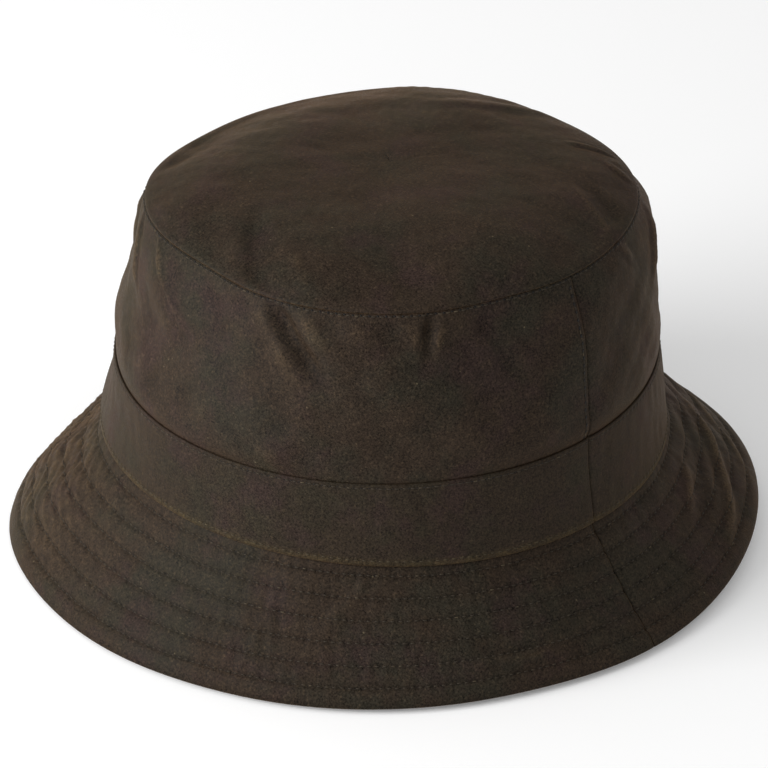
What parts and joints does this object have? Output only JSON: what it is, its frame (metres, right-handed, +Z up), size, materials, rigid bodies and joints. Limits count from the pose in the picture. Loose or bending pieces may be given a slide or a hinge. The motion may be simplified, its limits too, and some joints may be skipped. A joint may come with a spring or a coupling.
{
  "type": "bucket hat",
  "caption": "Soft waxed-cotton bucket hat with a flat crown, a plain band, a sloping stitched brim, a lining and a sweatband.",
  "frame": {"origin": "centre of the circle that the brim edge makes on the surface where the hat stands", "axes": "+Z up along the crown's axis, -Y towards the front of the hat, and the two side seams on the X axis"},
  "size_m": [0.26, 0.26, 0.1391],
  "materials": {
    "waxed_cotton": "dark olive-brown waxed cotton, low sheen",
    "band_waxed_cotton": "dark olive waxed cotton, worn along the folded edges",
    "interlining": "matt stiffening canvas",
    "lining_cotton": "plain matt cotton",
    "sweatband_cotton": "matt twill tape",
    "label_tape": "woven satin tape, blank",
    "dark_thread": "spun polyester sewing thread",
    "light_thread": "spun polyester sewing thread, olive"
  },
  "bodies": {
    "hat": {"crown_side_front": "waxed_cotton", "crown_side_rear": "waxed_cotton", "hat_band_front": "band_waxed_cotton", "hat_band_rear": "band_waxed_cotton", "brim_upper_front": "waxed_cotton", "brim_upper_rear": "waxed_cotton", "brim_interlining_front": "interlining", "brim_interlining_rear": "interlining", "brim_lower_front": "waxed_cotton", "brim_lower_rear": "waxed_cotton", "lining_side_front": "lining_cotton", "lining_side_rear": "lining_cotton", "sweatband": "sweatband_cotton", "thread_side_seams": "dark_thread", "thread_band_top": "dark_thread", "thread_band_foot": "light_thread", "thread_brim_rows": "dark_thread", "thread_brim_hem": "dark_thread", "thread_sweatband": "dark_thread"},
    "crown": {"crown_tip": "waxed_cotton", "lining_tip": "lining_cotton", "size_patch": "label_tape", "thread_tip_seam": "dark_thread"},
    "label": {"care_label": "label_tape"}
  },
  "joints": [
    {"name": "crown_press", "type": "slide", "parent": "hat", "child": "crown", "axis": [0, 0, -1], "range_m": [0, 0.036], "deforming": ["crown_side_front", "crown_side_rear", "lining_side_front", "lining_side_rear", "thread_side_seams"]},
    {"name": "care_label_lift", "type": "hinge", "parent": "hat", "child": "label", "pos_m": [0, 0.09046, 0.067], "axis": [-1, 0, 0], "range_deg": [0, 120]}
  ]
}
